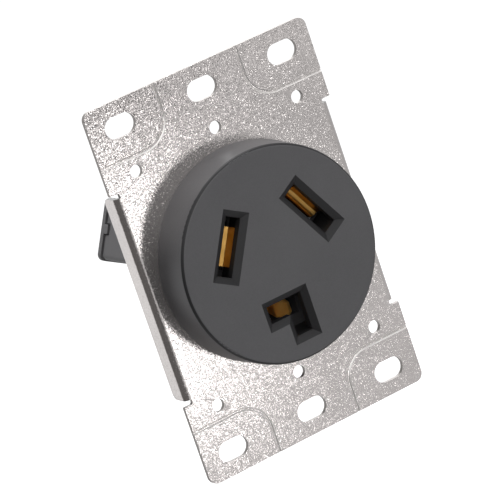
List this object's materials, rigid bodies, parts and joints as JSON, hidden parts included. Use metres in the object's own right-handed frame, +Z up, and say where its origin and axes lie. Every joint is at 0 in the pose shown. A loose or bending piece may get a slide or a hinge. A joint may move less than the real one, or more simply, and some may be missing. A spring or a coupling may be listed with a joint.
{
  "type": "dryer receptacle",
  "caption": "Flush-mounted dryer receptacle: plated steel strap with slotted ears and bent flanges, round dark face with slanted slots and an L slot, and a three-armed wiring body behind.",
  "frame": {"origin": "the housing's axis on the back of the mounting strap, at the centre of the four box screw slots", "axes": "+X to the right and +Z up as seen on the wall; +Y into the wall, so the face looks along -Y"},
  "size_m": [0.0628, 0.0403, 0.0954],
  "materials": {
    "plated_strap": "sandblasted and zinc plated, fine sparkle",
    "housing_plastic": "satin moulded, finely textured",
    "body_plastic": "satin moulded",
    "contact_brass": "rolled and stamped",
    "spring_steel": "bright nickel plated",
    "clamp_steel": "zinc plated",
    "screw_steel": "zinc plated"
  },
  "bodies": {
    "root": {"mounting_strap": "plated_strap", "front_housing": "housing_plastic", "rear_body": "body_plastic", "back_cover": "body_plastic", "hot_contact_left": "contact_brass", "hot_contact_right": "contact_brass", "neutral_contact": "contact_brass", "hot_spring_left": "spring_steel", "hot_spring_right": "spring_steel", "neutral_spring": "spring_steel", "hot_left_clamp": "clamp_steel", "hot_right_clamp": "clamp_steel", "neutral_clamp": "clamp_steel", "hot_left_pad": "clamp_steel", "hot_right_pad": "clamp_steel", "neutral_pad": "clamp_steel", "terminal_screws": "screw_steel", "assembly_screws": "screw_steel"}
  },
  "joints": []
}
